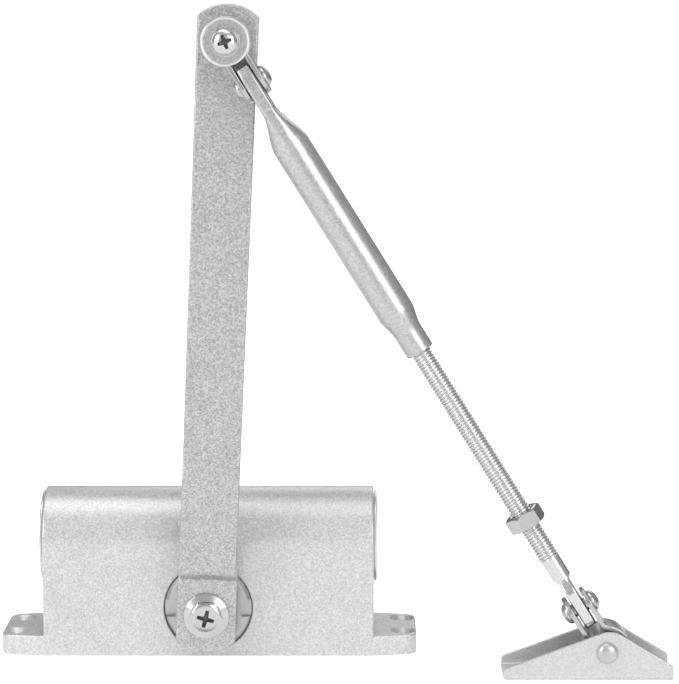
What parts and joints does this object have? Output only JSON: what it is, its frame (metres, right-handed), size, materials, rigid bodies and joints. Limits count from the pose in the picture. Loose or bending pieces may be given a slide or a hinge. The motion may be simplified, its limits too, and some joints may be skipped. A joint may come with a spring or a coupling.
{
  "type": "door closer",
  "caption": "Surface-mounted rack-and-pinion door closer with a round-crowned body, a flat main arm, an adjustable forearm and a peaked foot bracket.",
  "frame": {"origin": "centre of the flat face by which the closer's body is screwed to the door", "axes": "+X along the body towards the foot bracket, +Y along the spindle away from the arm, +Z away from the door"},
  "size_m": [0.2614, 0.0918, 0.2555],
  "materials": {
    "body_casting": "die-cast, with silver sparkle paint",
    "silver_paint": "silver sparkle paint",
    "arm_paint": "silver sparkle paint, a little darker",
    "bright_zinc": "bright zinc or nickel plate",
    "steel": "machined steel",
    "spring_steel": "oiled spring steel",
    "bronze": "sintered bronze",
    "rubber": "matt black"
  },
  "bodies": {
    "closer_body": {"body_casting": "body_casting", "end_plug_left": "bright_zinc", "end_plug_right": "bright_zinc", "end_plug_seal_left": "rubber", "end_plug_seal_right": "rubber", "bearing_nut_front": "steel", "bearing_nut_rear": "steel", "spindle_bush_front": "bronze", "spindle_bush_rear": "bronze", "spindle_seal_front": "rubber", "spindle_seal_rear": "rubber", "closing_spring": "spring_steel"},
    "piston": {"piston": "steel", "check_valve_retainer": "bronze"},
    "check_ball": {"check_valve_ball": "steel"},
    "closing_speed_screw": {"closing_speed_valve": "bright_zinc", "closing_valve_seal": "rubber"},
    "latching_speed_screw": {"latching_speed_valve": "bright_zinc", "latching_valve_seal": "rubber"},
    "spindle": {"pinion_spindle": "steel", "main_arm": "arm_paint", "arm_washer": "bright_zinc", "arm_screw": "bright_zinc", "elbow_bush": "steel", "elbow_disc": "bright_zinc", "elbow_screw": "bright_zinc"},
    "elbow_yoke": {"elbow_yoke_strap": "bright_zinc", "elbow_cross_rivet": "bright_zinc"},
    "forearm": {"forearm_tube": "silver_paint"},
    "rod": {"threaded_rod": "bright_zinc"},
    "lock_nut": {"lock_nut": "bright_zinc"},
    "foot_yoke": {"foot_yoke_strap": "bright_zinc", "foot_cross_rivet": "bright_zinc"},
    "foot": {"foot_bracket": "silver_paint", "foot_rivet": "bright_zinc", "foot_bush": "steel"}
  },
  "joints": [
    {"name": "spindle_turn", "type": "hinge", "parent": "closer_body", "child": "spindle", "pos_m": [0, 0, 0.0195], "axis": [0, 1, 0], "range_deg": [0, 170], "stiffness_Nm_per_rad": 5.6, "springref_deg": -91.67},
    {"name": "piston_slide", "type": "slide", "parent": "closer_body", "child": "piston", "axis": [1, 0, 0], "range_m": [0, 0.0312], "deforming": ["closing_spring"]},
    {"name": "check_ball_lift", "type": "slide", "parent": "piston", "child": "check_ball", "axis": [-1, 0, 0], "range_m": [0, 0.001]},
    {"name": "closing_speed_adjust", "type": "hinge", "parent": "closer_body", "child": "closing_speed_screw", "pos_m": [0.0653, -0.009, 0.017], "axis": [1, 0, 0], "range_deg": [0, 720]},
    {"name": "latching_speed_adjust", "type": "hinge", "parent": "closer_body", "child": "latching_speed_screw", "pos_m": [0.0653, 0.009, 0.017], "axis": [1, 0, 0], "range_deg": [0, 720]},
    {"name": "elbow_turn", "type": "hinge", "parent": "spindle", "child": "elbow_yoke", "pos_m": [0.01001, -0.0465, 0.24158], "axis": [0, 1, 0], "range_deg": [-145, 20]},
    {"name": "elbow_tilt", "type": "hinge", "parent": "elbow_yoke", "child": "forearm", "pos_m": [0.01953, -0.0465, 0.2263], "axis": [0.8485, 0, 0.5292], "range_deg": [-20, 2]},
    {"name": "forearm_length", "type": "slide", "parent": "forearm", "child": "rod", "axis": [0.5292, 0, -0.8485], "range_m": [-0.055, 0.02]},
    {"name": "lock_nut_travel", "type": "slide", "parent": "rod", "child": "lock_nut", "axis": [0.5292, 0, -0.8485], "range_m": [-0.015, 0.012]},
    {"name": "foot_tilt", "type": "hinge", "parent": "rod", "child": "foot_yoke", "pos_m": [0.14415, -0.0465, 0.02648], "axis": [-0.8485, 0, -0.5292], "range_deg": [-15, 15]},
    {"name": "foot_turn", "type": "hinge", "parent": "foot_yoke", "child": "foot", "pos_m": [0.15368, -0.0465, 0.0112], "axis": [0, 1, 0], "range_deg": [-85, 50]}
  ],
  "couplings": [
    {"joint": "piston_slide", "follows": "spindle_turn", "m_per_rad": 0.0105}
  ]
}
